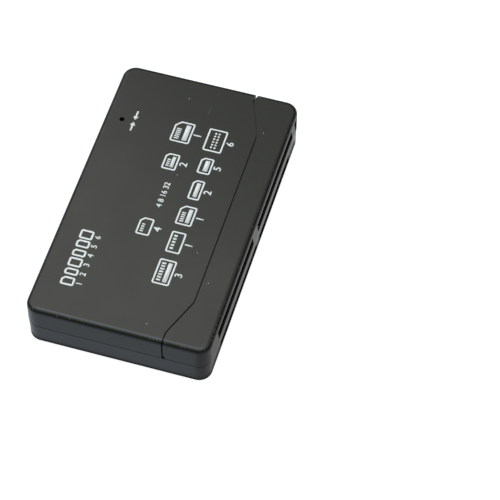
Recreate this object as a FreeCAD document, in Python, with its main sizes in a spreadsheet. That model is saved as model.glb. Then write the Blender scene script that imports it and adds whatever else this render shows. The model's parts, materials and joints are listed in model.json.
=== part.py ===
"""Multi-slot memory card reader: three snap-together shells round one circuit board and its sockets.

Frame: X runs along the case, Y from the card windows at the front to the small inlet at the rear, Z up.
The origin is under the middle of the case, on the surface it stands on.
"""
import FreeCAD, Part
import math
import os
import Sketcher
from types import SimpleNamespace

# Driving dimensions in millimetres, apart from base_draft in degrees.
SIZES = {
    # Shells of the case
    "wall": 1.6,
    "corner_radius": 4.0,
    "top_edge_radius": 1.5,
    "base_edge_radius": 0.9,
    "base_inset": 0.05,
    "base_draft": 1.5,
    "parting_drop": 0.1,
    "parting_gap": 0.28,
    "tongue": 0.7,
    "tongue_height": 0.9,
    "tongue_clearance": 0.1,
    # Cranked seam between the two upper shells, measured from the front face and from the ends
    "seam_gap": 0.4,
    "seam_bend_radius": 4.0,
    "seam_end_reach": 13.4,
    "seam_middle_reach": 8.85,
    "seam_outer_bend": 3.6,
    "seam_inner_bend": 15.5,
    "seam_relief": 0.7,
    "seam_relief_height": 1.4,
    "seam_nick": 1.3,
    "lap_length": 1.8,
    "lap_clearance": 0.1,
    # Front face: the lip of the front cover and the leaning slot wall under it, with its windows
    "front_return": 4.0,
    "return_gap": 0.5,
    "lip_drop": 2.0,
    "slot_wall_lean": 0.6,
    "near_margin": 10.25,
    "near_window": 33.85,
    "window_rib": 4.5,
    "far_window": 35.8,
    "far_margin": 7.6,
    "window_sill": 0.9,
    "window_lead_in": 0.4,
    "low_window_inset": 1.4,
    "thin_window_margin": 0.9,
    "mouth_margin": 0.15,
    # Stack of the case in height
    "lower_bay": 4.8,
    "board_thickness": 1.2,
    "upper_bay": 6.2,
    # Posts, pins and bosses that carry and hold the board
    "post_inset": 4.1,
    "post_side": 3.0,
    "pin_radius": 0.9,
    "pin_rise": 3.0,
    "pin_clearance": 0.1,
    "boss_side": 3.6,
    "boss_clearance": 0.15,
    "board_clearance": 0.4,
    "board_corner": 2.0,
    "part_spacing": 0.9,
    # Card sockets
    "socket_setback": 0.6,
    "card_play": 0.3,
    "back_wall": 1.2,
    "rail_lead_in": 0.6,
    "rail_lead_length": 1.2,
    "sheet": 0.25,
    "spring_sheet": 0.15,
    "spring_lift": 0.45,
    "spring_root": 0.6,
    "spring_tail": 1.0,
    "square_card_width": 24.0,
    "square_card_gap": 2.5,
    "square_card_base": 1.4,
    "square_card_rail": 1.7,
    "square_card_depth": 27.0,
    "square_card_pitch": 2.5,
    "square_card_spring": 7.0,
    "square_card_strip": 1.0,
    "stick_card_width": 21.5,
    "stick_card_gap": 3.2,
    "stick_card_base": 1.4,
    "stick_card_rail": 1.7,
    "stick_card_depth": 24.0,
    "stick_card_pitch": 1.65,
    "stick_card_spring": 6.0,
    "stick_card_strip": 0.8,
    "thin_card_width": 25.0,
    "thin_card_gap": 2.1,
    "thin_card_base": 1.6,
    "thin_card_rail": 1.7,
    "thin_card_depth": 24.0,
    "thin_card_pitch": 1.1,
    "thin_card_spring": 6.0,
    "thin_card_strip": 0.6,
    "thin_card_shift": 1.4,
    "micro_card_width": 11.0,
    "micro_card_gap": 1.1,
    "micro_card_base": 2.0,
    "micro_card_rail": 1.0,
    "micro_card_depth": 14.0,
    "micro_card_pitch": 1.1,
    "micro_card_spring": 4.0,
    "micro_card_strip": 0.7,
    "mini_stick_width": 12.5,
    "mini_stick_gap": 1.5,
    "mini_stick_base": 2.0,
    "mini_stick_rail": 1.0,
    "mini_stick_depth": 15.0,
    "mini_stick_pitch": 0.9,
    "mini_stick_spring": 4.0,
    "mini_stick_strip": 0.5,
    # Pin header for the widest card, at the rear
    "header_gap": 3.9,
    "header_thickness": 4.5,
    "header_height": 5.2,
    "guide_length": 14.2,
    "guide_clearance": 0.25,
    "guide_wall": 1.4,
    "pin_card_width": 42.8,
    "pin_card_edge": 3.3,
    "groove_depth": 0.8,
    "groove_floor": 0.8,
    "pin_pitch": 1.27,
    "pin_square": 0.5,
    "pin_reach": 4.0,
    "pin_leg_step": 0.4,
    "header_window_margin": 0.5,
    # Small inlet at the rear, for power and data
    "inlet_from_end": 13.0,
    "inlet_recess": 0.6,
    "inlet_width": 7.7,
    "inlet_height": 3.95,
    "inlet_depth": 9.2,
    "inlet_sheet": 0.3,
    "inlet_waist": 6.2,
    "inlet_waist_height": 0.8,
    "inlet_block": 2.5,
    "inlet_margin": 0.3,
    "inlet_tongue_width": 4.6,
    "inlet_tongue_thickness": 0.9,
    "inlet_tongue_height": 1.5,
    "inlet_tongue_setback": 1.4,
    "inlet_contact_setback": 2.8,
    "inlet_pitch": 0.8,
    "inlet_strip": 0.4,
    # Small parts on the board
    "light_from_end": 20.8,
    "light_from_rear": 5.3,
    "light_hole_radius": 0.75,
    "light_length": 2.0,
    "light_width": 1.25,
    "light_height": 0.7,
    "light_lens": 0.3,
    "chip_from_end": 22.0,
    "chip_length": 10.2,
    "chip_width": 5.3,
    "chip_height": 1.65,
    "chip_standoff": 0.1,
    "chip_pitch": 0.65,
    "lead_width": 0.3,
    "lead_sheet": 0.15,
    "lead_shoulder": 0.5,
    "lead_foot": 0.7,
    "crystal_from_end": 25.0,
    "crystal_length": 11.0,
    "crystal_width": 4.6,
    "crystal_height": 3.3,
    "crystal_corner": 2.0,
    "capacitor_from_end": 12.0,
    "capacitor_length": 2.0,
    "capacitor_width": 1.25,
    "capacitor_height": 0.9,
    "capacitor_pitch": 4.4,
    "resistor_from_end": 25.4,
    "resistor_from_rear": 5.9,
    "resistor_length": 1.6,
    "resistor_width": 0.8,
    "resistor_height": 0.45,
    "resistor_pitch": 2.4,
}

# Contacts of each socket and pins of the header, which the card standards fix
SQUARE_CONTACTS = 9
STICK_CONTACTS = 10
THIN_CONTACTS = 18
MICRO_CONTACTS = 8
MINI_STICK_CONTACTS = 11
HEADER_COLUMNS = 25
INLET_CONTACTS = 5
CHIP_LEADS_PER_SIDE = 14
CAPACITORS = 6
RESISTORS = 5

# How far a cutting sketch stands clear of the solid that it cuts, and how far a cut runs on past a wall
OVERCUT = 1.0
OVERRUN = 0.5
TOLERANCE = 1e-4

UPPER = 1
LOWER = -1


class Size:
    """A measure that carries its formula, for binding, beside its value, for starting a sketch."""

    def __init__(self, formula, value):
        self.formula = formula
        self.value = value

    def __add__(self, other):
        other = as_size(other)
        return Size(f"({self.formula} + {other.formula})", self.value + other.value)

    def __sub__(self, other):
        other = as_size(other)
        return Size(f"({self.formula} - {other.formula})", self.value - other.value)

    def __mul__(self, factor):
        return Size(f"({self.formula} * {factor})", self.value * factor)

    def __truediv__(self, divisor):
        return Size(f"({self.formula} / {divisor})", self.value / divisor)

    def __neg__(self):
        return Size(f"(0 - {self.formula})", -self.value)


def as_size(number):
    return number if isinstance(number, Size) else Size(f"{number}", float(number))


doc = FreeCAD.newDocument("CardReader")
sheet = doc.addObject("Spreadsheet::Sheet", "Sizes")
for row, (alias, number) in enumerate(SIZES.items(), start=1):
    sheet.set(f"A{row}", alias)
    sheet.set(f"B{row}", str(number))
    sheet.setAlias(f"B{row}", alias)
layout = doc.addObject("App::VarSet", "Layout")
doc.recompute()

s = SimpleNamespace(**{alias: Size(f"Sizes.{alias}", float(number)) for alias, number in SIZES.items()})


def place(name, size):
    """Keeps a worked-out measure in the document under a name of its own."""
    layout.addProperty("App::PropertyFloat", name, "Layout", "")
    layout.setExpression(name, size.formula)
    return Size(f"Layout.{name}", size.value)


def plane(body, role):
    return next(feature for feature in body.Origin.OriginFeatures if feature.Role == role)


def new_body(label):
    body = doc.addObject("PartDesign::Body", label)
    body.Label = label
    return body


def new_sketch(body, role, offset):
    """An empty sketch on an origin plane of the body, moved along that plane's normal."""
    sketch = body.newObject("Sketcher::SketchObject", f"{body.Label}_sketch")
    sketch.AttachmentSupport = [(plane(body, role), "")]
    sketch.MapMode = "FlatFace"
    sketch.setExpression("AttachmentOffset.Base.z", as_size(offset).formula)
    return sketch


def level_sketch(body, height):
    return new_sketch(body, "XY_Plane", height)


def upright_sketch(body, depth):
    """A sketch that faces the front, at a place along Y; its X and Y are the case's X and Z."""
    return new_sketch(body, "XZ_Plane", -as_size(depth))


def side_sketch(body, along):
    """A sketch that faces the far end, at a place along X; its X and Y are the case's Y and Z."""
    return new_sketch(body, "YZ_Plane", along)


def bind(sketch, constraint, size):
    index = sketch.addConstraint(constraint)
    sketch.setExpression(f"Constraints[{index}]", as_size(size).formula)


def fix_point(sketch, geometry, position, x, y):
    x, y = as_size(x), as_size(y)
    bind(sketch, Sketcher.Constraint("DistanceX", -1, 1, geometry, position, x.value), x)
    bind(sketch, Sketcher.Constraint("DistanceY", -1, 1, geometry, position, y.value), y)


def vector(x, y):
    return FreeCAD.Vector(as_size(x).value, as_size(y).value, 0)


def polygon(sketch, corners):
    first = sketch.GeometryCount
    count = len(corners)
    for index, corner in enumerate(corners):
        following = corners[(index + 1) % count]
        sketch.addGeometry(Part.LineSegment(vector(*corner), vector(*following)), False)
    for index, corner in enumerate(corners):
        line, following = first + index, first + (index + 1) % count
        sketch.addConstraint(Sketcher.Constraint("Coincident", line, 2, following, 1))
        fix_point(sketch, line, 1, *corner)


def rectangle(sketch, left, right, low, high):
    polygon(sketch, [(left, low), (right, low), (right, high), (left, high)])


def circle(sketch, x, y, radius):
    ring = sketch.addGeometry(Part.Circle(vector(x, y), FreeCAD.Vector(0, 0, 1), radius.value), False)
    fix_point(sketch, ring, 3, x, y)
    bind(sketch, Sketcher.Constraint("Radius", ring, radius.value), radius)


def rounded_rectangle(sketch, left, right, low, high, radius):
    """Four lines and four tangent arcs, counter-clockwise from the lower side."""
    centres = [(right - radius, low + radius), (right - radius, high - radius),
               (left + radius, high - radius), (left + radius, low + radius)]
    starts = [(left + radius, low), (right, low + radius), (right - radius, high), (left, high - radius)]
    ends = [(right - radius, low), (right, high - radius), (left + radius, high), (left, low + radius)]
    first = sketch.GeometryCount
    for corner, (start, end, centre) in enumerate(zip(starts, ends, centres)):
        sketch.addGeometry(Part.LineSegment(vector(*start), vector(*end)), False)
        round_edge = Part.Circle(vector(*centre), FreeCAD.Vector(0, 0, 1), radius.value)
        turn = (corner - 1) * math.pi / 2
        sketch.addGeometry(Part.ArcOfCircle(round_edge, turn, turn + math.pi / 2), False)
    for corner in range(4):
        line = first + 2 * corner
        arc = line + 1
        following = first + (2 * corner + 2) % 8
        sketch.addConstraint(Sketcher.Constraint("Tangent", line, 2, arc, 1))
        sketch.addConstraint(Sketcher.Constraint("Tangent", arc, 2, following, 1))
        sketch.addConstraint(Sketcher.Constraint("Vertical" if corner % 2 else "Horizontal", line))
    for corner in range(1, 4):
        sketch.addConstraint(Sketcher.Constraint("Equal", first + 1, first + 1 + 2 * corner))
    bind(sketch, Sketcher.Constraint("Radius", first + 1, radius.value), radius)
    fix_point(sketch, first + 3, 3, *centres[1])
    fix_point(sketch, first + 7, 3, *centres[3])


def seam(sketch, shift, half_span, outer_edge):
    """A closed outline whose one side is the cranked seam, moved along Y by shift.

    The seam runs straight in from each end, slants to the front and crosses the middle straight, with
    arcs at its four bends; the other sides are square, at plus and minus half_span and at outer_edge.
    """
    end_y = seam_end_y + shift
    middle_y = seam_middle_y + shift
    outer_x, inner_x = half_length - s.seam_outer_bend, half_length - s.seam_inner_bend
    radius = s.seam_bend_radius
    rise, run = end_y.value - middle_y.value, outer_x.value - inner_x.value
    turn = math.atan2(rise, run)
    trim = radius.value * math.tan(turn / 2)
    along, down = trim * math.cos(turn), trim * math.sin(turn)
    xo, xi, ye, ym = outer_x.value, inner_x.value, end_y.value, middle_y.value
    span, edge = half_span.value, outer_edge.value
    stations = [(-span, ye), (-xo - trim, ye), (-xo + along, ye - down), (-xi - along, ym + down),
                (-xi + trim, ym), (xi - trim, ym), (xi + along, ym + down), (xo - along, ye - down),
                (xo + trim, ye), (span, ye), (span, edge), (-span, edge), (-span, ye)]
    line_starts = [0, 2, 4, 6, 8, 9, 10, 11]
    lines = []
    for index in line_starts:
        begin, finish = FreeCAD.Vector(*stations[index], 0), FreeCAD.Vector(*stations[index + 1], 0)
        lines.append(sketch.addGeometry(Part.LineSegment(begin, finish), False))
    up, back = math.pi / 2, 3 * math.pi / 2
    outer_centre, inner_centre = ye - radius.value, ym + radius.value
    bends = [(-xo - trim, outer_centre, up - turn, up), (-xi + trim, inner_centre, back - turn, back),
             (xi - trim, inner_centre, back, back + turn), (xo + trim, outer_centre, up, up + turn)]
    arcs = []
    for x, y, begin, finish in bends:
        bend = Part.Circle(FreeCAD.Vector(x, y, 0), FreeCAD.Vector(0, 0, 1), radius.value)
        arcs.append(sketch.addGeometry(Part.ArcOfCircle(bend, begin, finish), False))
    # The outer bends turn clockwise, so their arcs are met end first.
    for index, arc in enumerate(arcs):
        clockwise = index in (0, 3)
        entry, leave = (2, 1) if clockwise else (1, 2)
        sketch.addConstraint(Sketcher.Constraint("Tangent", lines[index], 2, arc, entry))
        sketch.addConstraint(Sketcher.Constraint("Tangent", arc, leave, lines[index + 1], 1))
        bind(sketch, Sketcher.Constraint("Radius", arc, radius.value), radius)
    for index in (4, 5, 6):
        sketch.addConstraint(Sketcher.Constraint("Coincident", lines[index], 2, lines[index + 1], 1))
    sketch.addConstraint(Sketcher.Constraint("Coincident", lines[7], 2, lines[0], 1))
    for index in (0, 2, 4, 6):
        sketch.addConstraint(Sketcher.Constraint("Horizontal", lines[index]))
    for index in (5, 7):
        sketch.addConstraint(Sketcher.Constraint("Vertical", lines[index]))
    corners = [(-outer_x, end_y, (0, 1)), (-inner_x, middle_y, (1, 2)),
               (inner_x, middle_y, (3,)), (outer_x, end_y, (3, 4))]
    for x, y, on_lines in corners:
        point = sketch.addGeometry(Part.Point(vector(x, y)), True)
        fix_point(sketch, point, 1, x, y)
        for index in on_lines:
            sketch.addConstraint(Sketcher.Constraint("PointOnObject", point, 1, lines[index]))
    fix_point(sketch, lines[6], 1, half_span, outer_edge)
    bind(sketch, Sketcher.Constraint("DistanceX", -1, 1, lines[7], 1, -span), -half_span)


def pad(body, sketch, length):
    feature = body.newObject("PartDesign::Pad", f"{body.Label}_pad")
    feature.Profile = sketch
    feature.setExpression("Length", as_size(length).formula)
    sketch.Visibility = False
    doc.recompute()
    return feature


def pocket(body, sketch, depth, along_normal=False):
    """Cuts against the sketch's normal, or along it, and makes sure that material came off."""
    before = body.Shape.Volume
    feature = body.newObject("PartDesign::Pocket", f"{body.Label}_pocket")
    feature.Profile = sketch
    feature.setExpression("Length", as_size(depth).formula)
    feature.Reversed = along_normal
    sketch.Visibility = False
    doc.recompute()
    if not body.Shape.Volume < before - TOLERANCE:
        raise RuntimeError(f"{feature.Label} cuts nothing")
    return feature


def row(body, feature, pitch, count):
    pattern = body.newObject("PartDesign::LinearPattern", f"{body.Label}_row")
    pattern.Originals = [feature]
    pattern.Direction = (plane(body, "X_Axis"), [""])
    pattern.Occurrences = count
    pattern.setExpression("Length", (pitch * (count - 1)).formula)
    body.Tip = pattern
    doc.recompute()
    return pattern


def edges_where(feature, test):
    numbered = enumerate(feature.Shape.Edges, start=1)
    return [f"Edge{index}" for index, edge in numbered if test(edge.BoundBox)]


def dress(body, kind, base, edges, measure, size):
    """A fillet or chamfer on named edges of the feature before it."""
    if not edges:
        raise RuntimeError(f"{base.Label} has no such edges")
    feature = body.newObject(f"PartDesign::{kind}", f"{body.Label}_{kind.lower()}")
    feature.Base = (base, edges)
    feature.setExpression(measure, size.formula)
    doc.recompute()
    return feature


def is_at(number, size):
    return abs(number - as_size(size).value) < TOLERANCE


def lies_at_height(box, height):
    return is_at(box.ZMin, height) and is_at(box.ZMax, height)


# Worked-out layout of the case
case_length = place("case_length", s.near_margin + s.near_window + s.window_rib
                    + s.far_window + s.far_margin)
front_inner = s.wall + s.base_inset
case_width = place("case_width", front_inner + s.socket_setback + s.square_card_depth + s.header_gap
                   + s.header_thickness + s.guide_length + s.guide_clearance + front_inner)
case_height = place("case_height", s.wall * 2 + s.lower_bay + s.board_thickness + s.upper_bay)
half_length = place("half_length", case_length / 2)
half_width = place("half_width", case_width / 2)
board_bottom = place("board_bottom", s.wall + s.lower_bay)
board_top = place("board_top", board_bottom + s.board_thickness)
parting = place("parting", board_top - s.parting_drop)
lid_bottom = place("lid_bottom", parting + s.parting_gap)
ceiling = place("ceiling", case_height - s.wall)
lip = place("lip", case_height - s.lip_drop)
sill = place("sill", board_top + s.window_sill)
seam_end_y = place("seam_end_y", s.seam_end_reach - half_width)
seam_middle_y = place("seam_middle_y", s.seam_middle_reach - half_width)
near_left = place("near_left", s.near_margin - half_length)
near_right = place("near_right", near_left + s.near_window)
far_right = place("far_right", half_length - s.far_margin)
far_left = place("far_left", far_right - s.far_window)
low_left = place("low_left", near_left + s.low_window_inset)
low_right = place("low_right", far_left - s.low_window_inset)
socket_front = place("socket_front", front_inner + s.socket_setback - half_width)
post_x = place("post_x", half_length - s.post_inset)
post_y = place("post_y", half_width - s.post_inset - s.post_side / 2)
clear_of_post = place("clear_of_post", post_x - s.post_side / 2 - s.part_spacing)
POSTS = {
    "front": [(-post_x, -post_y), (post_x, -post_y)],
    "rear": [(-post_x, post_y), (post_x, post_y)],
}


def card_socket(name, side, contacts):
    """Gathers one socket's sizes; its mouth, body and height above the board follow from the card."""
    own = {key: getattr(s, f"{name}_{key}")
           for key in ("width", "gap", "base", "rail", "depth", "pitch", "spring", "strip")}
    socket = SimpleNamespace(name=name, side=side, contacts=contacts, **own)
    socket.mouth = place(f"{name}_mouth", socket.width + s.card_play * 2)
    socket.body = place(f"{name}_body", socket.mouth + socket.rail * 2)
    socket.roof = place(f"{name}_roof", socket.base + socket.gap)
    socket.back = place(f"{name}_back", socket_front + socket.depth)
    return socket


square_card = card_socket("square_card", UPPER, SQUARE_CONTACTS)
stick_card = card_socket("stick_card", UPPER, STICK_CONTACTS)
thin_card = card_socket("thin_card", LOWER, THIN_CONTACTS)
micro_card = card_socket("micro_card", LOWER, MICRO_CONTACTS)
mini_stick = card_socket("mini_stick", LOWER, MINI_STICK_CONTACTS)
square_card.x = place("square_card_x", (near_left + near_right) / 2)
stick_card.x = place("stick_card_x", (far_left + far_right) / 2)
thin_card.x = place("thin_card_x", stick_card.x - s.thin_card_shift)
micro_card.x = place("micro_card_x", low_left + s.mouth_margin + micro_card.mouth / 2)
mini_stick.x = place("mini_stick_x", low_right - s.mouth_margin - mini_stick.mouth / 2)
SOCKETS = [square_card, stick_card, thin_card, micro_card, mini_stick]

# Pin header: its bar stands behind the square card's socket, and its arms reach to the rear wall
header_back = place("header_back", square_card.back + s.header_gap)
header_face = place("header_face", header_back + s.header_thickness)
guide_end = place("guide_end", header_face + s.guide_length)
groove_span = place("groove_span", s.pin_card_width + s.card_play * 2)
header_half = place("header_half", groove_span / 2 + s.guide_wall)
header_x = place("header_x", header_half - clear_of_post)
groove_low = place("groove_low", board_top + s.groove_floor)
groove_high = place("groove_high", groove_low + s.pin_card_edge + s.card_play)
pin_rows = [(groove_low + groove_high) / 2 + s.pin_pitch * half for half in (-0.5, 0.5)]
first_pin_x = place("first_pin_x", header_x - s.pin_pitch * ((HEADER_COLUMNS - 1) / 2))

inlet_x = place("inlet_x", half_length - s.inlet_from_end)
inlet_mouth = place("inlet_mouth", half_width - s.inlet_recess)
inlet_back = place("inlet_back", inlet_mouth - s.inlet_depth)
inlet_top = place("inlet_top", board_top + s.inlet_height)
light_x = place("light_x", half_length - s.light_from_end)
light_y = place("light_y", half_width - s.light_from_rear)


def level(side, height):
    """A height above the board on its upper side, or the same depth below it on its lower side."""
    return board_top + height if side == UPPER else board_bottom - height


def slab_floor(side, low, high):
    """The lower face of a slab that lies between two heights off the board."""
    return level(side, low) if side == UPPER else level(side, high)


def inset_outline(sketch, inset):
    inset = as_size(inset)
    rounded_rectangle(sketch, inset - half_length, half_length - inset, inset - half_width,
                      half_width - inset, s.corner_radius - inset)


def outline_at(body, height, inset):
    sketch = level_sketch(body, height)
    inset_outline(sketch, inset)
    return sketch


def rounds_at(body, height, places, radius):
    sketch = level_sketch(body, height)
    for x, y in places:
        circle(sketch, x, y, radius)
    return sketch


def squares_at(body, height, places, side):
    sketch = level_sketch(body, height)
    for x, y in places:
        rectangle(sketch, x - side / 2, x + side / 2, y - side / 2, y + side / 2)
    return sketch


def rear_openings():
    """Left, right and top of the two gaps in the rear wall, for the widest card and for the inlet."""
    card_half = groove_span / 2 + s.header_window_margin
    lead_half = s.inlet_width / 2 + s.inlet_margin
    return [(header_x - card_half, header_x + card_half, board_top + s.header_height + s.inlet_margin),
            (inlet_x - lead_half, inlet_x + lead_half, inlet_top + s.inlet_margin)]


def build_bottom_cover():
    body = new_body("bottom_cover")
    tray = pad(body, outline_at(body, 0, s.base_inset), parting)
    taper_walls(body, tray)
    rim = lambda box: lies_at_height(box, 0)
    dress(body, "Fillet", body.Tip, edges_where(body.Tip, rim), "Radius", s.base_edge_radius)
    add_slot_wall(body)
    pocket(body, outline_at(body, parting, front_inner), parting - s.wall)
    tongue_ring = outline_at(body, parting, front_inner - s.tongue)
    inset_outline(tongue_ring, front_inner)
    pad(body, tongue_ring, s.tongue_height)
    sketch = level_sketch(body, parting + s.tongue_height)
    for left, right, _ in rear_openings():
        rectangle(sketch, left, right, half_width - front_inner - OVERCUT, half_width)
    pocket(body, sketch, s.tongue_height)
    cut_card_windows(body)
    everywhere = POSTS["front"] + POSTS["rear"]
    pad(body, squares_at(body, s.wall, everywhere, s.post_side), s.lower_bay)
    pad(body, rounds_at(body, board_bottom, everywhere, s.pin_radius), s.board_thickness + s.pin_rise)
    return body


def taper_walls(body, tray):
    """Leans the side walls in towards the floor, as a mould needs, about their upper edge."""
    upright = []
    neutral = None
    for index, face in enumerate(tray.Shape.Faces, start=1):
        box = face.BoundBox
        if box.ZMax - box.ZMin > TOLERANCE:
            upright.append(f"Face{index}")
        elif is_at(box.ZMax, parting):
            neutral = f"Face{index}"
    draft = body.newObject("PartDesign::Draft", "bottom_cover_draft")
    draft.Base = (tray, upright)
    draft.NeutralPlane = (tray, [neutral])
    draft.Reversed = True
    draft.setExpression("Angle", s.base_draft.formula)
    before = tray.Shape.Volume
    doc.recompute()
    if not draft.Shape.Volume < before:
        raise RuntimeError("the walls lean outwards")


def add_slot_wall(body):
    """The front wall between the returns of the lid, which leans back to pass under the lip."""
    front = s.base_inset - half_width
    top = lip - s.parting_gap
    half_span = half_length - s.front_return - s.return_gap
    sketch = side_sketch(body, -half_span)
    polygon(sketch, [(front, parting), (front + s.wall, parting),
                     (front + s.wall + s.slot_wall_lean, top), (front + s.slot_wall_lean, top)])
    pad(body, sketch, half_span * 2)


def cut_card_windows(body):
    """Two tall gaps that the lip closes from above, and two low ones that open at the tray's floor."""
    sketch = upright_sketch(body, -half_width - OVERCUT)
    rectangle(sketch, near_left, near_right, sill, case_height)
    rectangle(sketch, far_left, far_right, sill, case_height)
    rectangle(sketch, low_left, low_right, s.wall, board_bottom - micro_card.base + s.mouth_margin)
    thin_half = thin_card.body / 2 + s.thin_window_margin
    rectangle(sketch, thin_card.x - thin_half, thin_card.x + thin_half,
              s.wall, board_bottom - thin_card.base + s.mouth_margin)
    pocket(body, sketch, front_inner + s.slot_wall_lean + OVERCUT + OVERRUN)
    for left, width in ((near_left, s.near_window), (far_left, s.far_window)):
        slope_sill(body, left, width)


def slope_sill(body, left, width):
    """Slopes the outer edge of a tall window's sill at 45 degrees, to lead a card in."""
    front = s.base_inset - half_width
    clear = front - OVERCUT
    sketch = side_sketch(body, left)
    polygon(sketch, [(clear, sill - s.window_lead_in - OVERCUT),
                     (front + s.window_lead_in, sill), (clear, sill)])
    pocket(body, sketch, width, along_normal=True)


def lid_blank(label):
    """What both upper shells start from: the whole lid, hollow, rounded and rebated for the tongue."""
    body = new_body(label)
    block = pad(body, outline_at(body, lid_bottom, 0), case_height - lid_bottom)
    brow = lambda box: lies_at_height(box, case_height)
    dress(body, "Fillet", block, edges_where(block, brow), "Radius", s.top_edge_radius)
    pocket(body, outline_at(body, lid_bottom, s.wall), ceiling - lid_bottom, along_normal=True)
    rebate = front_inner - s.tongue - s.tongue_clearance
    rebate_height = s.tongue_height + s.tongue_clearance
    pocket(body, outline_at(body, lid_bottom, rebate), rebate_height, along_normal=True)
    return body


def seam_sketch(body, height, shift, half_span, outer_edge):
    sketch = level_sketch(body, height)
    seam(sketch, shift, half_span, outer_edge)
    return sketch


def add_bosses(body, places):
    """Hollow bosses that come down on the board and take the pins of the tray."""
    low = board_top + s.boss_clearance
    pad(body, squares_at(body, low, places, s.boss_side), ceiling - low)
    bore = rounds_at(body, low, places, s.pin_radius + s.pin_clearance)
    pocket(body, bore, s.pin_rise, along_normal=True)


def build_top_cover():
    body = lid_blank("top_cover")
    beyond_end, beyond_front = half_length + OVERCUT, -half_width - OVERCUT
    above = case_height + OVERCUT
    half_gap = s.seam_gap / 2
    pocket(body, seam_sketch(body, above, half_gap, beyond_end, beyond_front), above)
    lap = half_gap + s.lap_length + s.lap_clearance
    under = seam_sketch(body, ceiling, lap, half_length - s.wall, beyond_front)
    pocket(body, under, s.wall / 2 + s.lap_clearance / 2, along_normal=True)
    sketch = level_sketch(body, above)
    circle(sketch, light_x, light_y, s.light_hole_radius)
    pocket(body, sketch, s.wall + OVERCUT * 2)
    sketch = upright_sketch(body, half_width + OVERCUT)
    for left, right, top in rear_openings():
        rectangle(sketch, left, right, lid_bottom - OVERCUT, top)
    pocket(body, sketch, s.wall + OVERCUT + OVERRUN, along_normal=True)
    add_bosses(body, POSTS["rear"])
    return body


def build_front_cover():
    body = lid_blank("front_cover")
    beyond_end, beyond_rear = half_length + OVERCUT, half_width + OVERCUT
    above, below = case_height + OVERCUT, lid_bottom - OVERCUT
    half_gap = s.seam_gap / 2
    lap_face = s.wall / 2 + s.lap_clearance / 2
    pocket(body, seam_sketch(body, above, -half_gap, beyond_end, beyond_rear), lap_face + OVERCUT)
    pocket(body, seam_sketch(body, above, half_gap + s.lap_length, beyond_end, beyond_rear), above)
    under = seam_sketch(body, below, -half_gap, beyond_end, beyond_rear)
    pocket(body, under, ceiling - below, along_normal=True)
    tongue_end = half_length - s.wall - s.lap_clearance
    seam_edge = seam_end_y - half_gap
    sketch = level_sketch(body, above)
    rectangle(sketch, -beyond_end, -tongue_end, seam_edge, beyond_rear)
    rectangle(sketch, tongue_end, beyond_end, seam_edge, beyond_rear)
    pocket(body, sketch, above)
    open_half = half_length - s.front_return
    sketch = level_sketch(body, below)
    rectangle(sketch, -open_half, open_half, -half_width - OVERCUT, s.wall + OVERCUT - half_width)
    pocket(body, sketch, lip - below, along_normal=True)
    add_bosses(body, POSTS["front"])
    ease_seam_ends(body, seam_edge)
    return body


def ease_seam_ends(body, seam_edge):
    """A slanted relief at the foot of the seam at the near end, and a nick at its head at the far end."""
    sketch = side_sketch(body, -half_length - OVERCUT)
    polygon(sketch, [(seam_edge, lid_bottom), (seam_edge, lid_bottom + s.seam_relief_height),
                     (seam_edge - s.seam_relief, lid_bottom)])
    pocket(body, sketch, s.wall + OVERCUT + OVERRUN, along_normal=True)
    sketch = side_sketch(body, half_length + OVERCUT)
    polygon(sketch, [(seam_edge, case_height), (seam_edge - s.seam_nick, case_height),
                     (seam_edge, case_height - s.seam_nick)])
    pocket(body, sketch, s.wall + OVERCUT)


def build_circuit_board():
    body = new_body("circuit_board")
    inset = front_inner + s.board_clearance
    right, rear = half_length - inset, half_width - inset
    side, end = rear - s.board_corner, right - s.board_corner
    sketch = level_sketch(body, board_bottom)
    polygon(sketch, [(-end, -rear), (end, -rear), (right, -side), (right, side), (end, rear), (-end, rear),
                     (-right, side), (-right, -side)])
    pad(body, sketch, s.board_thickness)
    holes = rounds_at(body, board_top, POSTS["front"] + POSTS["rear"], s.pin_radius + s.pin_clearance)
    pocket(body, holes, s.board_thickness)
    return body


def build_socket_body(socket):
    """A moulded floor with rails at the sides and a wall behind, and a bay cut through for the springs."""
    body = new_body(f"{socket.name}_body")
    left, right = socket.x - socket.body / 2, socket.x + socket.body / 2
    front, back = socket_front, socket.back
    sketch = level_sketch(body, slab_floor(socket.side, 0, socket.base))
    rectangle(sketch, left, right, front, back)
    pad(body, sketch, socket.base)
    inner_left, inner_right = left + socket.rail, right - socket.rail
    lead, lead_end = s.rail_lead_in, front + s.rail_lead_length
    sketch = level_sketch(body, slab_floor(socket.side, socket.base, socket.roof))
    polygon(sketch, [(left, front), (inner_left - lead, front), (inner_left, lead_end),
                     (inner_left, back - s.back_wall), (inner_right, back - s.back_wall),
                     (inner_right, lead_end), (inner_right + lead, front), (right, front),
                     (right, back), (left, back)])
    pad(body, sketch, socket.gap)
    bay_half = socket.pitch * ((socket.contacts - 1) / 2) + socket.strip
    sketch = level_sketch(body, slab_floor(socket.side, 0, socket.base) + socket.base)
    bay_front = back - s.back_wall - socket.spring - s.part_spacing
    rectangle(sketch, socket.x - bay_half, socket.x + bay_half, bay_front, back + OVERCUT)
    pocket(body, sketch, socket.base)
    return body


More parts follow.
